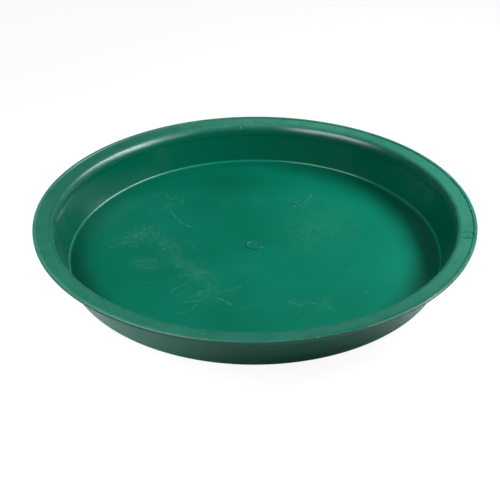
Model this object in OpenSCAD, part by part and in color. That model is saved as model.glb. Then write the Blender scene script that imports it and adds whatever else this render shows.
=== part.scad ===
/* [Overall] */
// Diameter over the rim edge
rim_d = 356; // [200:1:460]
// Height from the resting face to the top of the rim edge
pan_h = 39.4; // [24:0.1:70]

/* [Flange] */
// Sloped width from the rim edge to the start of the shoulder
flange_w = 12.5; // [9:0.1:25]
// Rise of the flange towards its edge, in degrees
flange_slope = 7.5; // [0:0.1:12]
// Thickness of the flange, square to its face
flange_t = 2.4; // [2.2:0.1:3.5]
// Rounding of the upper side of the rim edge
edge_upper_r = 1.5; // [0.5:0.1:1.7]
// Rounding of the lower side of the rim edge
edge_lower_r = 0.5; // [0.2:0.1:0.7]

/* [Shoulder] */
// Radius at the top of the shoulder, where the flange turns down
shoulder_r = 3.8; // [3:0.1:6]
// Larger radius below it, which runs out into the wall
run_out_r = 29; // [15:0.5:36]
// Steepness at which the two radii meet, in degrees
shoulder_split = 59; // [45:1:65]

/* [Wall] */
// Lean of the wall away from upright, in degrees
wall_draft = 14.5; // [8:0.1:22]
// Thickness of the wall, square to its face
wall_t = 2.4; // [1.6:0.1:3.3]

/* [Floor] */
// Thickness of the floor
floor_t = 2.8; // [2:0.1:4]
// Radius inside, where the wall meets the floor
floor_fillet_r = 3; // [1:0.1:8]
// Radius outside, where the wall meets the resting face
base_corner_r = 5; // [1:0.1:7]

/* [Gate mark] */
// Diameter of the raised disc at the centre of the floor
gate_disc_d = 14; // [8:0.1:24]
// Height of the raised disc above the floor
gate_disc_h = 0.7; // [0.4:0.05:1.5]
// Rounding of the raised disc's edge
gate_disc_r = 0.3; // [0.1:0.05:0.6]
// Diameter of the well under the disc
gate_well_d = 11; // [6:0.1:20]
// Depth of the well under the disc
gate_well_h = 0.9; // [0.6:0.05:1.5]
// Diameter of the cut-off sprue in the well
sprue_d = 4; // [2:0.1:8]
// Height of the cut-off sprue in the well
sprue_h = 0.5; // [0.2:0.05:0.8]

/* [Pin marks] */
// Where the four ejector pin marks stand around the flange, in degrees from the right-hand side
pin_mark_at = [-14.5, 81.5, 170.7, 260.1]; // [-180:0.1:360]
// Diameter of each pin mark
pin_mark_d = 10.5; // [4:0.1:12]
// Depth of each pin mark
pin_mark_h = 0.25; // [0.1:0.05:0.5]
// Distance down the flange from the rim edge to the centre of a pin mark
pin_mark_in = 7.2; // [6.5:0.1:8.5]

/* [Hidden] */
$fn = 180;
// How far a cut or a patch reaches past the face that it meets
overlap = 0.5;
// Short straight between the two radii of the shoulder
split_flat = 0.2;

// Points of the section are [radius, height]: "in" faces the dish, "out" faces away from it.
function unit(v) = v / norm(v);
function along_wall(p, z) = [p[0] + (z - p[1]) * tan(wall_draft), z];
function meet(p, u, q, v) = p + u * cross(q - p, v) / cross(u, v);

// The flange's sharp corner stands above the rounded edge, which reaches the full height.
rim_r = rim_d / 2;
edge_lift = edge_upper_r * (1 / cos(flange_slope) + tan(flange_slope) - 1);
edge_in = [rim_r, pan_h + edge_lift];
edge_out = edge_in - [0, flange_t / cos(flange_slope)];
flange_dir = [-cos(flange_slope), -sin(flange_slope)];

// The shoulder bends twice: out of the flange, then into the wall.
split_dir = [-cos(shoulder_split), -sin(shoulder_split)];
shoulder_run = shoulder_r * tan((shoulder_split - flange_slope) / 2);
wall_run = run_out_r * tan((90 - wall_draft - shoulder_split) / 2);
shoulder_in = edge_in + flange_dir * (flange_w + shoulder_run);
run_out_in = shoulder_in + split_dir * (shoulder_run + split_flat + wall_run);
floor_in = along_wall(run_out_in, floor_t);

// The outside of shoulder and wall runs beside the inside, one thickness away.
wall_up = [sin(wall_draft), cos(wall_draft)];
wall_out = floor_in + [cos(wall_draft), -sin(wall_draft)] * wall_t;
base_out = along_wall(wall_out, 0);
split_out = shoulder_in + [sin(shoulder_split), -cos(shoulder_split)] * wall_t;
shoulder_out = meet(split_out, split_dir, edge_out, flange_dir);
run_out_out = meet(split_out, split_dir, wall_out, wall_up);

// The gate's disc stands over a well that keeps the sprue clear of the ground.
disc_r = gate_disc_d / 2;
disc_top = floor_t + gate_disc_h;
well_r = gate_well_d / 2;
sprue_r = sprue_d / 2;
sprue_end = gate_well_h - sprue_h;

mark_at = edge_in + flange_dir * pin_mark_in;

// The patch between a sharp corner and the arc of radius r that rounds it
module corner_patch(corner, before, after, r) {
    a = unit(before - corner);
    b = unit(after - corner);
    inward = unit(a + b);
    half = acos(a * b) / 2;
    tangent = r / tan(half);
    centre = corner + inward * r / sin(half);
    difference() {
        polygon([corner - inward * overlap, corner + a * tangent, centre, corner + b * tangent]);
        translate(centre) circle(r);
    }
}

// Section of the moulding with sharp corners, from the axis out to the rim edge
module sharp_section() {
    polygon([
        [0, sprue_end],
        [sprue_r, sprue_end],
        [sprue_r, gate_well_h],
        [well_r, gate_well_h],
        [well_r, 0],
        base_out,
        run_out_out,
        shoulder_out,
        edge_out,
        edge_in,
        shoulder_in,
        run_out_in,
        floor_in,
        [disc_r, floor_t],
        [disc_r, disc_top],
        [0, disc_top]
    ]);
}

// Section with its outer corners rounded off and its inner corners filled
module section() {
    difference() {
        sharp_section();
        corner_patch(edge_in, shoulder_in, edge_out, edge_upper_r);
        corner_patch(edge_out, edge_in, shoulder_out, edge_lower_r);
        corner_patch(shoulder_in, edge_in, run_out_in, shoulder_r);
        corner_patch(run_out_in, shoulder_in, floor_in, run_out_r);
        corner_patch(base_out, [well_r, 0], run_out_out, base_corner_r);
        corner_patch([disc_r, disc_top], [0, disc_top], [disc_r, floor_t], gate_disc_r);
    }
    corner_patch(floor_in, run_out_in, [disc_r, floor_t], floor_fillet_r);
    corner_patch(run_out_out, base_out, shoulder_out, run_out_r - wall_t);
    corner_patch(shoulder_out, run_out_out, edge_out, shoulder_r - wall_t);
}

// Cut for one ejector pin mark, square to the sloped flange
module pin_mark() {
    translate([mark_at[0], 0, mark_at[1]])
        rotate([0, -flange_slope, 0])
        translate([0, 0, -pin_mark_h])
        cylinder(d = pin_mark_d, h = pin_mark_h + overlap);
}

// The whole pan is one moulding
module pan() {
    color("#0b7a5e")
    difference() {
        rotate_extrude() section();
        for (turn = pin_mark_at)
            rotate(turn)
            pin_mark();
    }
}

pan();
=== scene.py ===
import math
import bpy
from mathutils import Matrix, Vector


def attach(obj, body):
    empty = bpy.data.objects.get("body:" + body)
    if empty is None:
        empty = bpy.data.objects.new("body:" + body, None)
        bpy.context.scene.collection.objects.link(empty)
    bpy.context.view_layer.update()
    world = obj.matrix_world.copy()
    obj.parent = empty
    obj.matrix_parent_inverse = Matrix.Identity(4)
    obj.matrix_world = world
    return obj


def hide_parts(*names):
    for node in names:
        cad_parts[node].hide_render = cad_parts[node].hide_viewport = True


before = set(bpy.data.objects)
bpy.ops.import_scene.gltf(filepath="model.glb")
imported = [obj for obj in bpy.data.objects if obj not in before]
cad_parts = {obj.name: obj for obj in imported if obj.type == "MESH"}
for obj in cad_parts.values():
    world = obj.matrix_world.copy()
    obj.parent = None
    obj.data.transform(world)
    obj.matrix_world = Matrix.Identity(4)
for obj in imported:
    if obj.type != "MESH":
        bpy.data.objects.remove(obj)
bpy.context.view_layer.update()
mm = 0.001
print("frame loaded:", sorted(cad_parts))


def linearColour(hexText):
    parts = [int(hexText[i:i + 2], 16) / 255 for i in (1, 3, 5)]
    return tuple(c / 12.92 if c <= 0.04045 else ((c + 0.055) / 1.055) ** 2.4 for c in parts) + (1.0,)


def addNode(tree, kind, inputs=None, **settings):
    node = tree.nodes.new(kind)
    for name, value in settings.items():
        setattr(node, name, value)
    for name, value in (inputs or {}).items():
        if isinstance(value, bpy.types.NodeSocket):
            tree.links.new(value, node.inputs[name])
        else:
            node.inputs[name].default_value = value
    return node


# the camera first: same height, distance and lens as the photograph
cameraSet = {
    "place": (0.0, -0.66124, 0.41891), "turn": (57.53, 0.336, 0.135),  # metres, degrees
    "lens": 67.29, "sensor": 36, "nearest": 0.02,
}
cameraTurn = [math.radians(angle) for angle in cameraSet["turn"]]
bpy.ops.object.select_all(action="DESELECT")
bpy.ops.object.camera_add(location=cameraSet["place"], rotation=cameraTurn)
camera = bpy.context.object
camera.name = "camera"
camera.data.lens = cameraSet["lens"]
camera.data.sensor_width = cameraSet["sensor"]
camera.data.clip_start = cameraSet["nearest"]
bpy.context.scene.camera = camera
print("camera set")


# the pan is one moulding: a section drawn with a pen vertex, then spun round the axis
panCut = {  # millimetres and degrees
    "rimR": 178.0, "height": 39.4,
    "flangeW": 12.5, "flangeSlope": 7.5, "flangeT": 2.4, "edgeUpperR": 1.5, "edgeLowerR": 0.5,
    "bead": ((174.95, 38.72), (175.3, 39.2), (177.5, 39.4), (178.0, 38.98)),  # step up to a broken edge
    "beadR": 0.12,
    "shoulderR": 3.8, "runOutR": 29.0, "split": 59.0, "splitFlat": 0.2,
    "wallDraft": 14.5, "wallT": 2.4, "floorT": 2.8, "floorFilletR": 3.0, "baseCornerR": 5.0,
    "floorRings": (60.0, 110.0),  # keep the faces of the flat floor from getting too long
    "discR": 7.0, "discH": 0.7, "lipR": 6.45, "dishR": 5.95, "dishH": 0.33, "lipRound": 0.15,
    "swell": ((7.0, 0.22), (9.0, 0.18), (13.0, 0.1), (17.0, 0.04), (21.0, 0.0)),  # rise round the gate
    "wellR": 5.5, "wellH": 0.9, "sprueR": 2.0, "sprueH": 0.5,
    "steps": {"lip": 2, "fillet": 10, "runOut": 14, "shoulder": 12, "bead": 3, "edge": 5,
              "outside": 8, "base": 10, "around": 320},
    "penSize": 10.0, "weld": 0.004, "smoothUnder": 35.0,
}
pinMarks = {  # on the flange, inside the bead; millimetres and degrees
    "at": (-14.5, 81.5, 170.7, 260.1), "radius": 5.25, "depth": 0.25,
    "fromAxis": 170.86, "height": 38.36, "slope": 5.0, "cutterTop": 2.0, "sides": 96,
}


def panSection(cut):
    # corners as (radius, height, rounding, steps), from the disc out to the rim and back underneath
    slope, split, lean = (math.radians(cut[name]) for name in ("flangeSlope", "split", "wallDraft"))
    shoulderHalf = (split - slope) / 2
    wallHalf = (math.pi / 2 - lean - split) / 2
    lift = cut["edgeUpperR"] * (1 / math.cos(slope) + math.tan(slope) - 1)
    edgeZ = cut["height"] + lift
    shoulderRun = cut["shoulderR"] * math.tan(shoulderHalf)
    wallRun = cut["runOutR"] * math.tan(wallHalf)
    shoulderX = cut["rimR"] - math.cos(slope) * (cut["flangeW"] + shoulderRun)
    shoulderZ = edgeZ - math.sin(slope) * (cut["flangeW"] + shoulderRun)
    down = shoulderRun + cut["splitFlat"] + wallRun
    wallX, wallZ = shoulderX - math.cos(split) * down, shoulderZ - math.sin(split) * down
    floorX = wallX - (wallZ - cut["floorT"]) * math.tan(lean)
    # outside: each face one thickness away, corners on the bisectors
    thick = cut["wallT"]
    outShoulder = thick * math.tan(shoulderHalf)
    outWall = thick * math.tan(wallHalf)
    outShoulderX = shoulderX + thick * math.sin(split) - math.cos(split) * outShoulder
    outShoulderZ = shoulderZ - thick * math.cos(split) - math.sin(split) * outShoulder
    outWallX = wallX + thick * math.sin(split) + math.cos(split) * outWall
    outWallZ = wallZ - thick * math.cos(split) + math.sin(split) * outWall
    baseX = outWallX - outWallZ * math.tan(lean)
    discTop = cut["floorT"] + cut["discH"]
    dishZ = discTop - cut["dishH"]
    sprueEnd = cut["wellH"] - cut["sprueH"]
    steps = cut["steps"]
    return [
        (0, dishZ, 0, 0),
        (cut["dishR"], dishZ, cut["lipRound"], steps["lip"]),
        (cut["lipR"], discTop, cut["lipRound"], steps["lip"]),
        (cut["discR"], discTop, 0, 0),
        *((r, cut["floorT"] + rise, 0, 0) for r, rise in cut["swell"]),
        *((r, cut["floorT"], 0, 0) for r in cut["floorRings"]),
        (floorX, cut["floorT"], cut["floorFilletR"], steps["fillet"]),
        (wallX, wallZ, cut["runOutR"], steps["runOut"]),
        (shoulderX, shoulderZ, cut["shoulderR"], steps["shoulder"]),
        *((r, z, cut["beadR"], steps["bead"]) for r, z in cut["bead"]),
        (cut["rimR"], edgeZ - cut["flangeT"] / math.cos(slope), cut["edgeLowerR"], steps["edge"]),
        (outShoulderX, outShoulderZ, cut["shoulderR"] - thick, steps["outside"]),
        (outWallX, outWallZ, cut["runOutR"] - thick, steps["outside"]),
        (baseX, 0, cut["baseCornerR"], steps["base"]),
        (cut["wellR"], 0, 0, 0),
        (cut["wellR"], cut["wellH"], 0, 0),
        (cut["sprueR"], cut["wellH"], 0, 0),
        (cut["sprueR"], sprueEnd, 0, 0),
        (0, sprueEnd, 0, 0),
    ]


def drawSection(corners):
    # a plane merged to one vertex is the pen; straight runs are extruded and roundings spun
    bpy.ops.object.select_all(action="DESELECT")
    bpy.ops.mesh.primitive_plane_add(size=panCut["penSize"] * mm, location=(0, 0, 0))
    bpy.ops.object.mode_set(mode="EDIT")
    bpy.ops.mesh.select_all(action="SELECT")
    bpy.ops.mesh.merge(type="CENTER")
    pen = (corners[0][0], corners[0][1])
    bpy.ops.transform.translate(value=(pen[0] * mm, 0, pen[1] * mm))
    for i in range(1, len(corners)):
        x, z, rounding, steps = corners[i]
        goal = (x, z)
        if rounding:
            before, after = corners[i - 1], corners[i + 1]
            inAngle = math.atan2(z - before[1], x - before[0])
            outAngle = math.atan2(after[1] - z, after[0] - x)
            turn = (outAngle - inAngle + math.pi) % (2 * math.pi) - math.pi
            back = rounding * math.tan(abs(turn) / 2)
            goal = (x - back * math.cos(inAngle), z - back * math.sin(inAngle))
        move = ((goal[0] - pen[0]) * mm, 0, (goal[1] - pen[1]) * mm)
        bpy.ops.mesh.extrude_region_move(TRANSFORM_OT_translate={"value": move})
        pen = goal
        if rounding:
            side = inAngle + math.copysign(math.pi / 2, turn)
            centreX = (goal[0] + rounding * math.cos(side)) * mm
            centreZ = (goal[1] + rounding * math.sin(side)) * mm
            bpy.ops.mesh.spin(steps=steps, angle=turn, center=(centreX, 0, centreZ), axis=(0, 1, 0))
            pen = (x + back * math.cos(outAngle), z + back * math.sin(outAngle))


drawSection(panSection(panCut))
bpy.ops.mesh.select_all(action="SELECT")
bpy.ops.mesh.spin(steps=panCut["steps"]["around"], angle=2 * math.pi, center=(0, 0, 0), axis=(0, 0, 1))
bpy.ops.mesh.select_all(action="SELECT")
bpy.ops.mesh.remove_doubles(threshold=panCut["weld"] * mm)
bpy.ops.mesh.normals_make_consistent(inside=False)
bpy.ops.object.mode_set(mode="OBJECT")
pan = bpy.context.object
pan.name = "moulded_pan"
print("pan spun:", len(pan.data.polygons), "faces")

# ejector pin marks: flat discs sunk square into the sloped flange
cutterDeep = pinMarks["depth"] + pinMarks["cutterTop"]
cutterMiddle = (pinMarks["cutterTop"] - pinMarks["depth"]) / 2
cutterTilt = -math.radians(pinMarks["slope"])
out = pinMarks["fromAxis"] * mm
for azimuth in pinMarks["at"]:
    bpy.ops.object.select_all(action="DESELECT")
    bpy.ops.mesh.primitive_cylinder_add(
        vertices=pinMarks["sides"], radius=pinMarks["radius"] * mm, depth=cutterDeep * mm,
        location=(0, 0, cutterMiddle * mm))
    cutter = bpy.context.object
    bpy.ops.object.transform_apply(location=True, rotation=True, scale=True)
    around = math.radians(azimuth)
    cutter.rotation_euler = (0, cutterTilt, around)
    cutter.location = (out * math.cos(around), out * math.sin(around), pinMarks["height"] * mm)
    bpy.context.view_layer.update()
    bpy.ops.object.select_all(action="DESELECT")
    bpy.context.view_layer.objects.active = pan
    pan.select_set(True)
    sinking = pan.modifiers.new("pin mark", "BOOLEAN")
    sinking.operation, sinking.object, sinking.solver = "DIFFERENCE", cutter, "EXACT"
    bpy.ops.object.modifier_apply(modifier=sinking.name)
    bpy.data.objects.remove(cutter)
bpy.ops.object.shade_smooth_by_angle(angle=math.radians(panCut["smoothUnder"]))
weighting = pan.modifiers.new("even shading", "WEIGHTED_NORMAL")
weighting.keep_sharp = True
bpy.ops.object.modifier_apply(modifier=weighting.name)
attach(pan, "root")
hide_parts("pan")
print("pin marks sunk:", len(pan.data.polygons), "faces")


# Injection-moulded polypropylene, deep green, satin from the mould, a little used:
# soft highlights on the roundings, a hazy handled flange, a floor dulled by gravel, with fine pale scuffs
plasticLook = {
    "ior": 1.49,
    "colours": {
        "fresh": "#005b44", "deep": "#00664d", "light": "#04725a", "hazy": "#1f7a61", "scuff": "#4a7866",
        "wornNear": "#2f7661", "wornWithSheen": "#458f77", "speck": "#6fa391", "sideLit": "#0a7d60",
        "paintedShade": "#00402f", "corner": "#0f8a6d"},
    "rough": {  # satin comes from the grain; the near wall is scoured, and so is the floor's left end
        "wall": 0.12, "nearWall": 0.7, "floor": 0.25, "leftEnd": 0.42, "knockedEdge": 0.45,
        "gate": 0.36, "flange": 0.36, "scuff": 0.45},
    # noise: size in mm, detail, roughness; which of its values are used, what they give, held there or not
    "noise": {
        "drift": (90, 3.0, 0.5, (0.3, 0.7), (0.0, 1.0), True),  # slow change of tone
        "mottle": (5, 5.0, 0.65, (0.38, 0.68), (0.3, 1.3), False),
        "rub": (12, 8.0, 0.75, (0.3, 0.72), (0.5, 1.0), True),
        "gaps": (3, 2.0, 0.5, (0.35, 0.6), (0.3, 1.3), False),  # break up the strokes
        "grain": (1.6, 2.0, 0.5, (0.3, 0.7), (0.17, 0.23), True)},  # gives the satin roughness
    "grainStrength": 0.05, "grainDepth": 0.05,
    # shares that rise from 0 at the first place to 1 at the second, in mm
    "zones": {
        "overFloor": ("height", 3.2, 7.0), "belowBend": ("height", 32.5, 29),
        "underShoulder": ("height", 31, 26), "underEdge": ("height", 38.9, 38.5),
        "nickHigh": ("height", 24, 32),
        "atGate": ("radius", 6.9, 6.6), "margin": ("radius", 128, 150),
        "onFlange": ("radius", 160.8, 163.6), "onBead": ("radius", 175.1, 175.5),
        "atRim": ("radius", 177.2, 177.5), "insideEdge": ("radius", 177.9, 177.4),
        "towardLeft": ("x", 60, -70), "litLeft": ("x", -15, -75), "litRight": ("x", 70, 125),
        "farSheen": ("y", 125, 172), "nearSide": ("y", -5, -60)},
    # hard edges, in mm; footRadius is the radius carried down the lean of the wall to the base
    "edges": {
        "aboveBase": ("height", "GREATER_THAN", 2.0), "belowCorner": ("height", "LESS_THAN", 3.0),
        "withinWall": ("radius", "LESS_THAN", 154.5), "rimOut": ("radius", "GREATER_THAN", 177.7),
        "outerWall": ("footRadius", "GREATER_THAN", 153.5), "innerWall": ("footRadius", "LESS_THAN", 153.5)},
    # lines through the middle of the flange and of the bend: slope, height in mm at the axis
    "middles": ((0.1317, 15.0), (1.02, -132.7)),
    # the next two lines are painted: a dark line of painted shade on the wall and a pale line of painted
    # highlight in the floor's corner
    "paintedShadeLine": (28.0, 0.2, 0.7, 160.9, 0.6),  # height, half widths, within radius, strength
    "cornerHighlightLine": (4.2, 0.3, 0.9, 154.5, 0.75),
    "creaseShade": ((165.2, 0.6, 0.35, 0.0), (175.0, 0.9, 0.05, 0.9)),  # radius, width, rub left, how much of this painted shade fades toward the left
    "sunk": (0.4, 0.15),  # from this strength on, this much rub is left
    "sideLitShares": (0.9, 0.4), "beadHighlight": 0.9, "rimShade": 0.85, "marginShadeAndWear": 0.5,
    "strokes": 0.85, "hairs": 0.6, "dots": 1.6,  # strength of each kind of scuff
    "strokeReach": 1.5,  # each stretch overlaps the next
    "wobble": (7, 2.0, 6),  # size in mm, detail, shift in mm
    "tangle": (20, 3.0, 0.6, 0.018),  # size in mm, detail, roughness, width of a hairline in the noise
    "nicks": {"apart": 11, "core": 0.03, "edge": 0.07, "few": 0.7},
}
panMarks = {
    # strength, width in mm, then points x, y in mm
    "scuffs": (
        (1.0, 1.0, (-75, 57), (-66, 41), (-60, 35), (-53, 28)),
        (0.6, 0.8, (-82, 93), (-80, 85), (-74, 77)),
        (0.7, 0.8, (-95, 63), (-91, 57), (-86, 57), (-81, 63), (-77, 70)),
        (0.5, 0.8, (-68, 82), (-65, 77), (-66, 70)),
        (0.6, 0.8, (-105, 29), (-99, 34), (-93, 34), (-87, 28)),
        (0.6, 0.8, (-119, 24), (-112, 23), (-105, 19), (-100, 13)),
        (0.5, 0.8, (-103, 30), (-101, 20), (-106, 12)),
        (0.7, 0.9, (-122, -4), (-114, 1), (-106, 4), (-97, -4)),
        (0.5, 0.8, (-80, 14), (-73, 6), (-66, 3)),
        (0.5, 0.7, (-58, 6), (-53, 3), (-50, -4), (-43, -8)),
        (0.8, 0.9, (-78, -23), (-90, -22), (-98, -26), (-92, -32), (-74, -36)),
        (0.6, 0.8, (-68, -12), (-62, -22), (-57, -26)),
        (0.7, 0.9, (-54, -30), (-47, -38), (-41, -42)),
        (0.7, 0.9, (-67, -69), (-58, -59), (-49, -54)),
        (0.6, 0.8, (-39, -50), (-35, -62), (-36, -75)),
        (0.9, 0.9, (-57, -83), (-49, -80), (-41, -77)),
        (0.5, 0.8, (-48, -91), (-44, -82), (-38, -73)),
        (1.0, 1.3, (-29, -76), (-24, -80), (-18, -84)),
        (0.5, 0.8, (-12, -88), (-4, -88), (3, -85)),
        (0.6, 0.9, (-22, -67), (-16, -64), (-11, -60)),
        (0.4, 0.8, (-92, -56), (-82, -53)),
        (0.4, 0.8, (-60, -96), (-50, -93)),
        (0.6, 0.9, (53, 89), (47, 76), (41, 67)),
        (0.5, 0.8, (50, -76), (55, -84), (59, -92)),
        (0.5, 0.8, (24, -80), (31, -83), (36, -86)),
        (0.5, 0.9, (77, -34), (75, -40)),
        (0.4, 0.7, (33, -105), (42, -98)),
        (0.3, 0.7, (80, 17), (89, 8)),
    ),
    # x, y and size in mm
    "dots": (
        (-83, 19, 2.4), (-75, -5, 3.0), (-63, -31, 3.0), (36, 65, 2.6), (-91, 85, 1.8), (86, -69, 2.0),
        (-101, 17, 3.4),
    ),
    # patches: x, y, length and width in mm, heading in degrees, strength; the first, large one at the right
    # is painted sheen, the rest scuffed haze
    "haze": (
        (54, 28, 120, 84, 60, 0.7), (-100, 16, 60, 34, 30, 0.5), (-76, 2, 60, 22, -55, 0.6),
        (-60, -26, 56, 24, -50, 0.7), (-44, -44, 50, 30, -35, 0.7), (-36, -66, 44, 18, -85, 0.5),
        (-10, -36, 30, 16, 0, 0.4), (-26, 72, 18, 12, 90, 0.5), (28, 80, 24, 14, 10, 0.45),
        (48, 72, 40, 16, 60, 0.5), (4, 76, 22, 26, 0, 0.3), (30, -82, 22, 14, -30, 0.5),
        (54, -84, 30, 16, 70, 0.4), (-17, -64, 24, 12, 35, 0.45), (60, 82, 16, 10, 30, 0.4),
        (-86, -28, 40, 24, 0, 0.3),
    ),
    # clusters of hairline scratches, laid out like the haze
    "scratched": (
        (-98, 18, 64, 44, 25, 1.0), (-72, 0, 64, 40, -50, 0.8), (-52, -36, 70, 44, -45, 0.7),
        (-40, -68, 60, 44, -20, 0.6), (-84, 76, 50, 44, 20, 0.6), (-88, -26, 50, 30, 0, 0.5),
        (46, 74, 50, 30, 60, 0.6), (40, -84, 60, 34, -20, 0.3),
    ),
    "deeperFloor": ((-24, 114, 130, 64, 0, 0.9),),  # a deeper green patch at the back of the floor
    "leftEnd": (-128, 52, 100, 50, 64), "leftEndFull": 0.7,
    # pin marks and two dull patches on the flange: degrees, radius, length round it and width in mm, strength
    "unrubbed": (
        (-14.5, 170.9, 16, 14, 0.24), (-15.8, 170.9, 4, 12, 0.8), (-13.0, 170.9, 2, 10, 0.3),
        (81.5, 170.9, 12, 11, 0.14), (170.7, 171.5, 12, 11, 0.18), (260.1, 170.9, 12, 11, 0.18),
        (192.0, 171.0, 15, 11, 0.16), (204.0, 170.5, 13, 9, 0.14),
    ),
}
plastic = bpy.data.materials.new("moulded_polypropylene_green")
plastic.use_nodes = True
tree = plastic.node_tree
shader = tree.nodes["Principled BSDF"]
shader.inputs["IOR"].default_value = plasticLook["ior"]
colours = {name: linearColour(value) for name, value in plasticLook["colours"].items()}


def softSpot(where, x, y, length, width, heading):
    # 1 at the middle of an ellipse, 0 at its edge
    spot = addNode(tree, "ShaderNodeMapping", {
        "Vector": where, "Location": (x * mm, y * mm, 0), "Rotation": (0, 0, math.radians(heading)),
        "Scale": (length / 2 * mm, width / 2 * mm, 1)}, vector_type="TEXTURE").outputs[0]
    return addNode(tree, "ShaderNodeTexGradient", {0: spot}, gradient_type="SPHERICAL").outputs["Fac"]


def strongest(spots):
    # the largest of several (strength, share) pairs
    best = None
    for strength, share in spots:
        scaled = addNode(tree, "ShaderNodeMath", {0: share, 1: strength}, operation="MULTIPLY").outputs[0]
        if best is not None:
            scaled = addNode(tree, "ShaderNodeMath", {0: best, 1: scaled}, operation="MAXIMUM").outputs[0]
        best = scaled
    return best


def overlap(shares):
    # full only where all of them are
    total = shares[0]
    for share in shares[1:]:
        total = addNode(tree, "ShaderNodeMath", {0: total, 1: share}, operation="MULTIPLY").outputs[0]
    return total


# places on the pan: height, distance from the axis, and the same distance carried down the wall to its foot
place = addNode(tree, "ShaderNodeTexCoord").outputs["Object"]
axes = addNode(tree, "ShaderNodeSeparateXYZ", {0: place}).outputs
flat = addNode(tree, "ShaderNodeCombineXYZ", {0: axes[0], 1: axes[1]}).outputs[0]
height = axes[2]
radius = addNode(tree, "ShaderNodeVectorMath", {0: flat}, operation="LENGTH").outputs["Value"]
wallLean = math.tan(math.radians(panCut["wallDraft"]))
footRadius = addNode(tree, "ShaderNodeMath", {0: height, 1: -wallLean, 2: radius},
                   operation="MULTIPLY_ADD").outputs[0]
measured = {"x": axes[0], "y": axes[1], "height": height, "radius": radius, "footRadius": footRadius}
on = {}
for name, (along, start, full) in plasticLook["zones"].items():
    on[name] = addNode(tree, "ShaderNodeMapRange", {
        0: measured[along], 1: start * mm, 2: full * mm}).outputs[0]
for name, (along, side, limit) in plasticLook["edges"].items():
    on[name] = addNode(tree, "ShaderNodeMath", {0: measured[along], 1: limit * mm}, operation=side).outputs[0]

# the dish's floor, its wall, and the upper side of the flange and the bend
notHigh = addNode(tree, "ShaderNodeMath", {0: 1.0, 1: on["overFloor"]}, operation="SUBTRACT").outputs[0]
onFloor = overlap([notHigh, on["aboveBase"], on["withinWall"]])
onWall = overlap([on["overFloor"], on["innerWall"], on["belowBend"]])
flangeMiddle, bendMiddle = (
    addNode(tree, "ShaderNodeMath", {0: radius, 1: rise, 2: atAxis * mm}, operation="MULTIPLY_ADD").outputs[0]
    for rise, atAxis in plasticLook["middles"])
middle = addNode(tree, "ShaderNodeMath", {0: flangeMiddle, 1: bendMiddle}, operation="MINIMUM").outputs[0]
upperSide = addNode(tree, "ShaderNodeMath", {0: height, 1: middle}, operation="GREATER_THAN").outputs[0]

noise, share = {}, {}
for name, (size, detail, coarse, used, gives, held) in plasticLook["noise"].items():
    noise[name] = addNode(tree, "ShaderNodeTexNoise", {
        "Vector": place, "Scale": 1 / (size * mm), "Detail": detail, "Roughness": coarse}).outputs[0]
    share[name] = addNode(tree, "ShaderNodeMapRange", {
        0: noise[name], 1: used[0], 2: used[1], 3: gives[0], 4: gives[1]}, clamp=held).outputs[0]

# fresh plastic is deepest; the floor is dulled by gravel, with a slow drift of tone and mottled haze, the
# large patch of it at the right being painted sheen
dulled = addNode(tree, "ShaderNodeMix", {
    0: share["drift"], 6: colours["deep"], 7: colours["light"]}, data_type="RGBA").outputs[2]
# deeper green at the floor's margin, partly less worn and partly painted shade where the walls' shadows fall;
# also a deeper patch at the back
deeperFloorSpots = [(strength, softSpot(place, *patch)) for *patch, strength in panMarks["deeperFloor"]]
deeperFloor = strongest([(plasticLook["marginShadeAndWear"], on["margin"])] + deeperFloorSpots)
hazeAndSheenSpots = [(strength, softSpot(place, *patch)) for *patch, strength in panMarks["haze"]]
floorHazeAndSheen = overlap([strongest(hazeAndSheenSpots), share["mottle"], onFloor])

# handled flange and shoulder: rubbed pale, but not in the sunk marks; paler still on the far side as painted
# sheen and along the bead at the left as a painted highlight, while the creases stay dark as painted shade
rubs = [share["rub"]]
# the dark lines left in the creases are painted shade, held back toward the left
for at, width, left, shadeGoneLeft in plasticLook["creaseShade"]:
    off = addNode(tree, "ShaderNodeMath", {0: radius, 1: at * mm}, operation="SUBTRACT").outputs[0]
    gap = addNode(tree, "ShaderNodeMath", {0: off}, operation="ABSOLUTE").outputs[0]
    near = addNode(tree, "ShaderNodeMapRange", {0: gap, 1: 0.0, 2: width * mm, 3: left, 4: 1.0}).outputs[0]
    rubs.append(strongest([(1.0, near), (shadeGoneLeft, on["towardLeft"])]))
sunkSpots = []
for azimuth, r, length, width, strength in panMarks["unrubbed"]:
    around = math.radians(azimuth)
    spot = softSpot(place, r * math.cos(around), r * math.sin(around), length, width, azimuth + 90)
    sunkSpots.append((strength, spot))
sunkFull, sunkLeft = plasticLook["sunk"]
sunk = overlap([strongest(sunkSpots), share["mottle"]])
rubs.append(addNode(tree, "ShaderNodeMapRange", {
    0: sunk, 1: 0.0, 2: sunkFull, 3: 1.0, 4: sunkLeft}).outputs[0])
flangeHaze = overlap([upperSide, on["onFlange"], on["insideEdge"]] + rubs)
# painted sheen on the far side and a painted highlight on the bead at the left both take the paler green
leftBeadHighlight = overlap([on["onBead"], on["towardLeft"]])
sheenAndHighlight = strongest([(1.0, on["farSheen"]), (plasticLook["beadHighlight"], leftBeadHighlight)])
wornAndSheen = addNode(tree, "ShaderNodeMix", {
    0: sheenAndHighlight, 6: colours["wornNear"], 7: colours["wornWithSheen"]}, data_type="RGBA").outputs[2]

# outside of the wall at the left and the right: painted light, a lighter green where these sides would be
# more lit
leftShare, rightShare = plasticLook["sideLitShares"]
litSides = strongest([(leftShare, on["litLeft"]), (rightShare, on["litRight"])])
sideLit = overlap([litSides, on["outerWall"], on["underShoulder"]])

# upright face of the rim: painted shade, darkened as if in shadow under the rim's edge
rimFaceShade = strongest([(plasticLook["rimShade"], overlap([on["rimOut"], on["underEdge"]]))])

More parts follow.
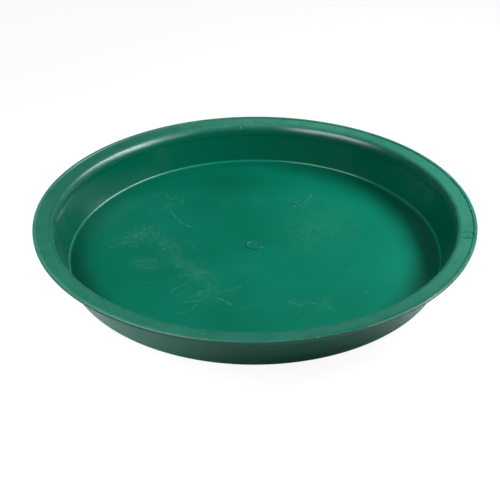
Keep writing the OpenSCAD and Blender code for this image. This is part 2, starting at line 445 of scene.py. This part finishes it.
# lines round the inside: a thin dark line of painted shade under the shoulder, and a paler line of painted
# highlight along the corner at the floor
wallLine = {}
for name in ("paintedShadeLine", "cornerHighlightLine"):
    at, core, reach, within, strength = plasticLook[name]
    off = addNode(tree, "ShaderNodeMath", {0: height, 1: at * mm}, operation="SUBTRACT").outputs[0]
    gap = addNode(tree, "ShaderNodeMath", {0: off}, operation="ABSOLUTE").outputs[0]
    near = addNode(tree, "ShaderNodeMapRange", {
        0: gap, 1: core * mm, 2: reach * mm, 3: strength, 4: 0.0}).outputs[0]
    inside = addNode(tree, "ShaderNodeMath", {0: radius, 1: within * mm}, operation="LESS_THAN").outputs[0]
    wallLine[name] = overlap([near, inside])

# scuffs: thin strokes on wobbling coordinates, broken up by a fine noise
wobbleSize, wobbleDetail, wobbleShift = plasticLook["wobble"]
wobble = addNode(tree, "ShaderNodeTexNoise", {
    "Vector": place, "Scale": 1 / (wobbleSize * mm), "Detail": wobbleDetail}).outputs["Color"]
centred = addNode(tree, "ShaderNodeVectorMath", {0: wobble, 1: (0.5,) * 3}, operation="SUBTRACT").outputs[0]
bent = addNode(tree, "ShaderNodeVectorMath", {0: centred, 1: (wobbleShift * mm,) * 3, 2: place},
               operation="MULTIPLY_ADD").outputs[0]
strokes = []
for strength, width, *points in panMarks["scuffs"]:
    for (x0, y0), (x1, y1) in zip(points, points[1:]):
        length = math.hypot(x1 - x0, y1 - y0) * plasticLook["strokeReach"]
        heading = math.degrees(math.atan2(y1 - y0, x1 - x0))
        spot = softSpot(bent, (x0 + x1) / 2, (y0 + y1) / 2, length, width * 2, heading)
        strokes.append((strength, spot))
brokenStrokes = overlap([strongest(strokes), share["gaps"]])
dots = [(plasticLook["dots"], softSpot(place, x, y, size, size, 0)) for x, y, size in panMarks["dots"]]

# hairlines run along the level lines of a noise, in clusters
tangleSize, tangleDetail, tangleCoarse, hairWidth = plasticLook["tangle"]
tangle = addNode(tree, "ShaderNodeTexNoise", {
    "Vector": bent, "Scale": 1 / (tangleSize * mm), "Detail": tangleDetail, "Roughness": tangleCoarse})
threads = addNode(tree, "ShaderNodeSeparateColor", {0: tangle.outputs["Color"]}).outputs
hairs = []
for thread in threads[:2]:
    off = addNode(tree, "ShaderNodeMath", {0: thread, 1: 0.5}, operation="SUBTRACT").outputs[0]
    gap = addNode(tree, "ShaderNodeMath", {0: off}, operation="ABSOLUTE").outputs[0]
    hair = addNode(tree, "ShaderNodeMapRange", {0: gap, 1: 0.0, 2: hairWidth, 3: 1.0, 4: 0.0}).outputs[0]
    hairs.append((1.0, hair))
clusters = [(strength, softSpot(place, *patch)) for *patch, strength in panMarks["scratched"]]
hairlines = overlap([strongest(hairs), strongest(clusters), share["gaps"]])
marks = strongest([(plasticLook["strokes"], brokenStrokes), (plasticLook["hairs"], hairlines)] + dots)
floorScuff = overlap([marks, onFloor])

# specks: nicks under a millimetre, one here and there on the flange, shoulder and upper wall
nickLook = plasticLook["nicks"]
nicks = addNode(tree, "ShaderNodeTexVoronoi", {
    "Vector": place, "Scale": 1 / (nickLook["apart"] * mm)}).outputs
nickSpot = addNode(tree, "ShaderNodeMapRange", {
    0: nicks["Distance"], 1: nickLook["core"], 2: nickLook["edge"], 3: 1.0, 4: 0.0}).outputs[0]
nickPick = addNode(tree, "ShaderNodeSeparateColor", {0: nicks["Color"]}).outputs[0]
nickFew = addNode(tree, "ShaderNodeMath", {
    0: nickPick, 1: nickLook["few"]}, operation="GREATER_THAN").outputs[0]
specks = overlap([nickSpot, nickFew, on["nickHigh"]])

# colour: from the dulled floor up, each layer over the last
tone = dulled
for cover, colour in (
        (deeperFloor, colours["fresh"]), (on["overFloor"], colours["fresh"]), (floorHazeAndSheen, colours["hazy"]),
        (flangeHaze, wornAndSheen), (sideLit, colours["sideLit"]), (rimFaceShade, colours["paintedShade"]),
        (wallLine["paintedShadeLine"], colours["paintedShade"]), (wallLine["cornerHighlightLine"], colours["corner"]),
        (floorScuff, colours["scuff"]), (specks, colours["speck"])):
    tone = addNode(tree, "ShaderNodeMix", {0: cover, 6: tone, 7: colour}, data_type="RGBA").outputs[2]
tree.links.new(tone, shader.inputs["Base Color"])

# roughness: satin, smoother on the inner wall, duller on the floor and wherever it is rubbed or scuffed
leftSpot = softSpot(place, *panMarks["leftEnd"])
leftFull = addNode(tree, "ShaderNodeMapRange", {0: leftSpot, 1: 0.0, 2: panMarks["leftEndFull"]}).outputs[0]
gloss = share["grain"]
for cover, level in (
        (onWall, "wall"), (overlap([onWall, on["nearSide"]]), "nearWall"),
        (onFloor, "floor"), (overlap([leftFull, onFloor, on["belowCorner"]]), "leftEnd"),
        (overlap([on["atRim"], on["towardLeft"]]), "knockedEdge"), (overlap([on["atGate"], onFloor]), "gate"),
        (flangeHaze, "flange"), (floorScuff, "scuff")):
    gloss = addNode(tree, "ShaderNodeMix", {
        0: cover, 2: gloss, 3: plasticLook["rough"][level]}, data_type="FLOAT").outputs[0]
tree.links.new(gloss, shader.inputs["Roughness"])

# mould grain: real texture is about 0.2 mm, drawn at 1.6 mm so that it shows
relief = addNode(tree, "ShaderNodeBump", {
    "Height": noise["grain"], "Strength": plasticLook["grainStrength"],
    "Distance": plasticLook["grainDepth"] * mm})
tree.links.new(relief.outputs[0], shader.inputs["Normal"])
pan.data.materials.clear()
pan.data.materials.append(plastic)
print("plastic made:", len(tree.nodes), "nodes")


# studio: white paper floor, a softbox at the right with a small one for the rim's edge, one at the front left
floorLook = {
    "white": "#f4f4f4", "size": 12.0, "below": 0.3,  # metres across, millimetres under the pan
    "glow": 1.09, "shown": 0.85, "mirrored": 0.05,  # how much of the glow the camera and a mirror see
}
bpy.ops.object.select_all(action="DESELECT")
bpy.ops.mesh.primitive_plane_add(size=floorLook["size"], location=(0, 0, -floorLook["below"] * mm))
studioFloor = bpy.context.object
studioFloor.name = "studio_floor"
paper = bpy.data.materials.new("white_paper_floor")
paper.use_nodes = True
paperTree = paper.node_tree
paperTree.nodes.clear()
rays = addNode(paperTree, "ShaderNodeLightPath").outputs
matt = addNode(paperTree, "ShaderNodeBsdfDiffuse", {"Color": linearColour(floorLook["white"])})
glow = addNode(paperTree, "ShaderNodeEmission", {"Color": (1, 1, 1, 1), "Strength": floorLook["glow"]})
inMirror = addNode(paperTree, "ShaderNodeMath", {
    0: rays["Is Glossy Ray"], 1: rays["Is Transmission Ray"]}, operation="MAXIMUM").outputs[0]
mirrorGlow = addNode(paperTree, "ShaderNodeMath", {
    0: inMirror, 1: floorLook["mirrored"]}, operation="MULTIPLY").outputs[0]
glowShare = addNode(paperTree, "ShaderNodeMath", {
    0: rays["Is Camera Ray"], 1: floorLook["shown"], 2: mirrorGlow},
    operation="MULTIPLY_ADD", use_clamp=True).outputs[0]
paperMix = addNode(paperTree, "ShaderNodeMixShader", {0: glowShare, 1: matt.outputs[0], 2: glow.outputs[0]})
addNode(paperTree, "ShaderNodeOutputMaterial", {"Surface": paperMix.outputs[0]})
studioFloor.data.materials.append(paper)

daylight = (0.94, 1.0, 1.05)  # a little bluer than white
softboxes = {  # ends of each strip and its height in metres, power in watts
    "right": {"back": (0.385, 0.37, 0.275), "front": (0.405, -0.10, 0.275), "high": 0.11, "power": 3.65},
    "right_edge": {"back": (0.396, -0.12, 0.246), "front": (0.33, -0.28, 0.375), "high": 0.05, "power": 0.28},
    "left": {"back": (-0.44, -0.05, 0.33), "front": (-0.22, -0.40, 0.39), "high": 0.11, "power": 2.0},
}
for name, box in softboxes.items():
    back, front = Vector(box["back"]), Vector(box["front"])
    centre = (back + front) / 2
    across = (front - back).normalized()
    away = (centre - across * centre.dot(across)).normalized()  # shines against this, at the pan's centre
    turn = Matrix((across, away.cross(across), away)).transposed().to_euler()
    bpy.ops.object.light_add(type="AREA", location=centre, rotation=turn)
    lamp = bpy.context.object
    lamp.name = "softbox_" + name
    lamp.data.shape = "RECTANGLE"
    lamp.data.size, lamp.data.size_y = (front - back).length, box["high"]
    lamp.data.energy = box["power"]
    lamp.data.color = daylight

# room: gives hardly any light, apart from a dim pale panel high behind the pan that the far flange catches;
# looked at past the floor's end, it is white like the floor
roomLook = {
    "air": 0.008, "panel": 0.3, "shown": 1.0, "mirrored": 0.01,
    # fades of the panel: axis of the direction looked in (1 back, 2 up), where it is 0, where it is full
    "panelEdges": ((2, 0.64, 0.72), (2, 0.9, 0.8), (1, 0.25, 0.6)),
}
room = bpy.data.worlds.new("dim_studio")
bpy.context.scene.world = room
room.use_nodes = True
roomTree = room.node_tree
roomTree.nodes.clear()
looked = addNode(roomTree, "ShaderNodeTexCoord").outputs["Generated"]
aim = addNode(roomTree, "ShaderNodeSeparateXYZ", {0: looked}).outputs
panel = roomLook["panel"]
for axis, start, full in roomLook["panelEdges"]:
    fade = addNode(roomTree, "ShaderNodeMapRange", {0: aim[axis], 1: start, 2: full},
                   interpolation_type="SMOOTHSTEP").outputs[0]
    panel = addNode(roomTree, "ShaderNodeMath", {0: fade, 1: panel}, operation="MULTIPLY").outputs[0]
level = addNode(roomTree, "ShaderNodeMath", {0: panel, 1: roomLook["air"]}, operation="ADD").outputs[0]
roomRays = addNode(roomTree, "ShaderNodeLightPath").outputs
roomMirror = addNode(roomTree, "ShaderNodeMath", {
    0: roomRays["Is Glossy Ray"], 1: roomRays["Is Transmission Ray"]}, operation="MAXIMUM").outputs[0]
for seen, part in ((roomRays["Is Camera Ray"], "shown"), (roomMirror, "mirrored")):
    level = addNode(roomTree, "ShaderNodeMath", {
        0: seen, 1: roomLook[part], 2: level}, operation="MULTIPLY_ADD").outputs[0]
air = addNode(roomTree, "ShaderNodeBackground", {"Color": (1, 1, 1, 1), "Strength": level})
addNode(roomTree, "ShaderNodeOutputWorld", {"Surface": air.outputs[0]})
bpy.context.scene.view_settings.view_transform = "Standard"
print("studio lit")
